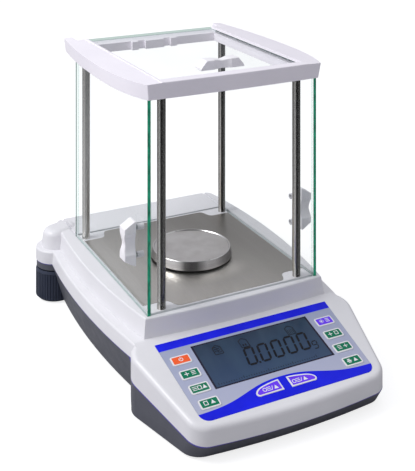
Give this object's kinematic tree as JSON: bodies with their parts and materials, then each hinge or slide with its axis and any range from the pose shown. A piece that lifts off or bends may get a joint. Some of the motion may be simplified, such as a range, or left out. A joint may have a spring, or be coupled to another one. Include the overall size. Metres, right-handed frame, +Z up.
{
  "type": "analytical balance",
  "caption": "Bench analytical balance: glass draught shield with sliding doors and lid on a stepped housing, round pan, sloping keypad with display, levelling feet.",
  "frame": {"origin": "bench plane directly below the centre of the weighing pan", "axes": "+Z up, -Y towards the user (display side), +X to the user's right"},
  "size_m": [0.2485, 0.3605, 0.2876],
  "materials": {
    "housing_white": "satin moulded ABS",
    "housing_dark": "fine texture",
    "frame_white": "satin moulded ABS",
    "steel": "brushed stainless",
    "polished_steel": "polished rim, brushed top",
    "screw_steel": "zinc plated",
    "glass": "clear float glass, green at the edges",
    "wheel_navy": "ribbed moulding",
    "rubber": "moulded rubber",
    "black_plastic": "moulded",
    "brass": "turned",
    "cast_aluminium": "machined casting",
    "spring_steel": "rolled strip",
    "magnet_steel": "plated",
    "copper": "enamelled wire",
    "pcb": "solder mask",
    "display": "segment display",
    "window": "clear window",
    "overlay": "printed film",
    "key_orange": "printed key",
    "key_green": "printed key",
    "key_violet": "printed key",
    "level_liquid": "spirit vial"
  },
  "bodies": {
    "housing": {"cell_base": "cast_aluminium", "cell_screws": "screw_steel", "dc_jack": "black_plastic", "display_board": "pcb", "floor_plate": "steel", "foot_inserts": "brass", "front_feet": "rubber", "front_glass": "glass", "housing_screws": "screw_steel", "keypad_overlay": "overlay", "lcd_module": "display", "lcd_window": "window", "level_cup": "black_plastic", "level_vial": "level_liquid", "lever_pivot": "screw_steel", "lower_housing": "housing_dark", "magnet_pot": "magnet_steel", "main_board": "pcb", "parallel_guides": "spring_steel", "pillar_screws": "screw_steel", "pillars": "steel", "position_sensor": "pcb", "rear_glass": "glass", "serial_port": "screw_steel", "tact_switches": "black_plastic", "top_frame": "frame_white", "upper_housing": "housing_white"},
    "left_door": {"left_door_glass": "glass", "left_handle": "frame_white", "left_handle_bosses": "frame_white", "left_handle_screws": "screw_steel"},
    "right_door": {"right_door_glass": "glass", "right_handle": "frame_white", "right_handle_bosses": "frame_white", "right_handle_screws": "screw_steel"},
    "lid": {"lid_glass": "glass", "lid_handle": "frame_white"},
    "left_foot": {"left_foot_pad": "rubber"},
    "right_foot": {"right_foot_pad": "rubber"},
    "left_wheel": {"left_foot_wheel": "wheel_navy", "left_foot_stud": "screw_steel"},
    "right_wheel": {"right_foot_wheel": "wheel_navy", "right_foot_stud": "screw_steel"},
    "receiver": {"load_receiver": "cast_aluminium", "pan_carrier": "black_plastic"},
    "weighing_pan": {"pan": "polished_steel"},
    "lever": {"lever_beam": "cast_aluminium", "coil": "copper"},
    "key_left_1_cap": {"key_left_1": "key_orange"},
    "key_left_2_cap": {"key_left_2": "key_green"},
    "key_left_3_cap": {"key_left_3": "key_green"},
    "key_left_4_cap": {"key_left_4": "key_green"},
    "key_wing_left_cap": {"key_wing_left": "key_violet"},
    "key_right_1_cap": {"key_right_1": "key_violet"},
    "key_right_2_cap": {"key_right_2": "key_green"},
    "key_right_3_cap": {"key_right_3": "key_green"},
    "key_right_4_cap": {"key_right_4": "key_green"},
    "key_wing_right_cap": {"key_wing_right": "key_violet"}
  },
  "joints": [
    {"name": "left_door_slide", "type": "slide", "parent": "housing", "child": "left_door", "axis": [0, 1, 0], "range_m": [0, 0.138]},
    {"name": "right_door_slide", "type": "slide", "parent": "housing", "child": "right_door", "axis": [0, 1, 0], "range_m": [0, 0.138]},
    {"name": "lid_slide", "type": "slide", "parent": "housing", "child": "lid", "axis": [0, 1, 0], "range_m": [0, 0.155]},
    {"name": "left_foot_lift", "type": "slide", "parent": "housing", "child": "left_foot", "axis": [0, 0, -1], "range_m": [-0.001, 0.006]},
    {"name": "left_wheel_turn", "type": "hinge", "parent": "left_foot", "child": "left_wheel", "pos_m": [-0.1025, 0.128, 0.02], "axis": [0, 0, 1], "range_deg": [-245, 1445]},
    {"name": "right_foot_lift", "type": "slide", "parent": "housing", "child": "right_foot", "axis": [0, 0, -1], "range_m": [-0.001, 0.006]},
    {"name": "right_wheel_turn", "type": "hinge", "parent": "right_foot", "child": "right_wheel", "pos_m": [0.1025, 0.128, 0.02], "axis": [0, 0, 1], "range_deg": [-245, 1445]},
    {"name": "receiver_travel", "type": "slide", "parent": "housing", "child": "receiver", "axis": [0, 0, 1], "range_m": [-0.0004, 0.0004], "stiffness_N_per_m": 60000},
    {"name": "lever_tilt", "type": "hinge", "parent": "housing", "child": "lever", "pos_m": [0, 0, 0.0445], "axis": [1, 0, 0], "range_deg": [-0.8, 0.8]},
    {"name": "pan_lift", "type": "slide", "parent": "receiver", "child": "weighing_pan", "axis": [0, 0, 1], "range_m": [0, 0.06]},
    {"name": "key_left_1_press", "type": "slide", "parent": "housing", "child": "key_left_1_cap", "axis": [0, -0.2425, 0.9701], "range_m": [-0.0004, 0], "stiffness_N_per_m": 1500, "springref_m": 0.0003},
    {"name": "key_left_2_press", "type": "slide", "parent": "housing", "child": "key_left_2_cap", "axis": [0, -0.2425, 0.9701], "range_m": [-0.0004, 0], "stiffness_N_per_m": 1500, "springref_m": 0.0003},
    {"name": "key_left_3_press", "type": "slide", "parent": "housing", "child": "key_left_3_cap", "axis": [0, -0.2425, 0.9701], "range_m": [-0.0004, 0], "stiffness_N_per_m": 1500, "springref_m": 0.0003},
    {"name": "key_left_4_press", "type": "slide", "parent": "housing", "child": "key_left_4_cap", "axis": [0, -0.2425, 0.9701], "range_m": [-0.0004, 0], "stiffness_N_per_m": 1500, "springref_m": 0.0003},
    {"name": "key_wing_left_press", "type": "slide", "parent": "housing", "child": "key_wing_left_cap", "axis": [0, -0.2425, 0.9701], "range_m": [-0.0004, 0], "stiffness_N_per_m": 1500, "springref_m": 0.0003},
    {"name": "key_right_1_press", "type": "slide", "parent": "housing", "child": "key_right_1_cap", "axis": [0, -0.2425, 0.9701], "range_m": [-0.0004, 0], "stiffness_N_per_m": 1500, "springref_m": 0.0003},
    {"name": "key_right_2_press", "type": "slide", "parent": "housing", "child": "key_right_2_cap", "axis": [0, -0.2425, 0.9701], "range_m": [-0.0004, 0], "stiffness_N_per_m": 1500, "springref_m": 0.0003},
    {"name": "key_right_3_press", "type": "slide", "parent": "housing", "child": "key_right_3_cap", "axis": [0, -0.2425, 0.9701], "range_m": [-0.0004, 0], "stiffness_N_per_m": 1500, "springref_m": 0.0003},
    {"name": "key_right_4_press", "type": "slide", "parent": "housing", "child": "key_right_4_cap", "axis": [0, -0.2425, 0.9701], "range_m": [-0.0004, 0], "stiffness_N_per_m": 1500, "springref_m": 0.0003},
    {"name": "key_wing_right_press", "type": "slide", "parent": "housing", "child": "key_wing_right_cap", "axis": [0, -0.2425, 0.9701], "range_m": [-0.0004, 0], "stiffness_N_per_m": 1500, "springref_m": 0.0003}
  ],
  "couplings": [
    {"joint": "left_wheel_turn", "follows": "left_foot_lift", "rad_per_m": 4188.8},
    {"joint": "right_wheel_turn", "follows": "right_foot_lift", "rad_per_m": 4188.8},
    {"joint": "lever_tilt", "follows": "receiver_travel", "rad_per_m": -29.412}
  ]
}
